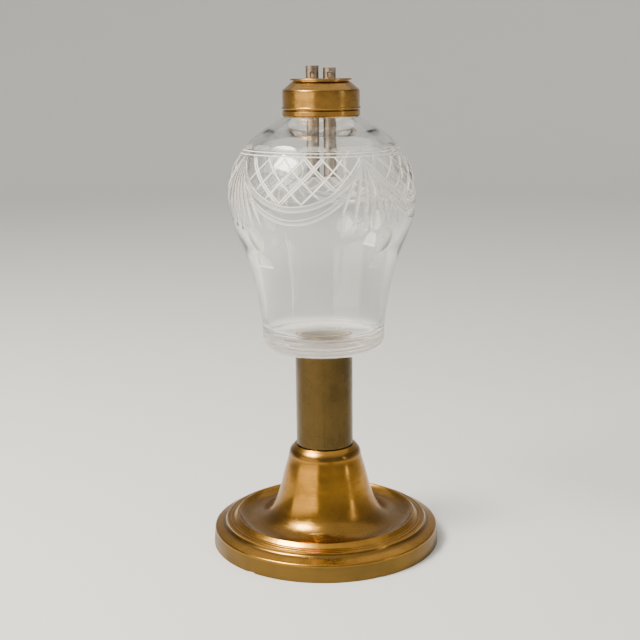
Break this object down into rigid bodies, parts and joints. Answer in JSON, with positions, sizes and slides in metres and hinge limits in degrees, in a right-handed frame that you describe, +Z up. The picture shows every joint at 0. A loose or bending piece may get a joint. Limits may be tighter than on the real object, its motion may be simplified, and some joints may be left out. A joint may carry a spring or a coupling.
{
  "type": "two-tube oil lamp",
  "caption": "Spirit or oil burner lamp with a clear cut-glass font on a brass stem and bell foot; screw cap with a drop-in two-wick burner.",
  "frame": {"origin": "middle of the foot's bottom edge", "axes": "+Z up along the stem, +X to the right wick tube, pick slots face -Y"},
  "size_m": [0.102, 0.102, 0.2115],
  "materials": {
    "foot_brass": "aged spun brass, soft satin with turned lines",
    "stem_brass": "drawn brass tube, olive tarnish in upright streaks",
    "collar_brass": "aged brass, polished by handling",
    "clear_glass": "clear lead glass, polished, cuts left grey",
    "plaster": "old brown cement, matt",
    "iron": "dark wrought iron",
    "leather": "oiled leather",
    "tinned_metal": "tinned tube, dull with a warm cast",
    "solder": "soft solder",
    "cotton": "plaited cotton, oil stained"
  },
  "bodies": {
    "base": {"foot": "foot_brass", "stem_tube": "stem_brass", "stem_plug": "stem_brass", "stem_stud": "iron", "stem_washer": "iron", "stem_nut": "iron", "font": "clear_glass", "peg_cement": "plaster", "collar": "collar_brass", "collar_cement": "plaster"},
    "cap_washer": {"cap_gasket": "leather"},
    "screw_cap": {"cap": "collar_brass"},
    "burner": {"burner_disc": "collar_brass", "burner_skirt": "collar_brass", "wick_tube_left": "tinned_metal", "wick_tube_right": "tinned_metal", "tube_solder": "solder"},
    "left_wick": {"wick_left": "cotton"},
    "right_wick": {"wick_right": "cotton"}
  },
  "joints": [
    {"name": "cap_rise", "type": "slide", "parent": "base", "child": "cap_washer", "axis": [0, 0, 1], "range_m": [0, 0.00601]},
    {"name": "cap_turn", "type": "hinge", "parent": "cap_washer", "child": "screw_cap", "pos_m": [0, 0, 0.199], "axis": [0, 0, 1], "range_deg": [0, 1440]},
    {"name": "burner_lift", "type": "slide", "parent": "screw_cap", "child": "burner", "axis": [0, 0, 1], "range_m": [0, 0.045]},
    {"name": "wick_left_raise", "type": "slide", "parent": "burner", "child": "left_wick", "axis": [0, 0, 1], "range_m": [-0.003, 0.005]},
    {"name": "wick_right_raise", "type": "slide", "parent": "burner", "child": "right_wick", "axis": [0, 0, 1], "range_m": [-0.003, 0.005]}
  ],
  "couplings": [
    {"joint": "cap_rise", "follows": "cap_turn", "m_per_rad": 0.00023873}
  ]
}
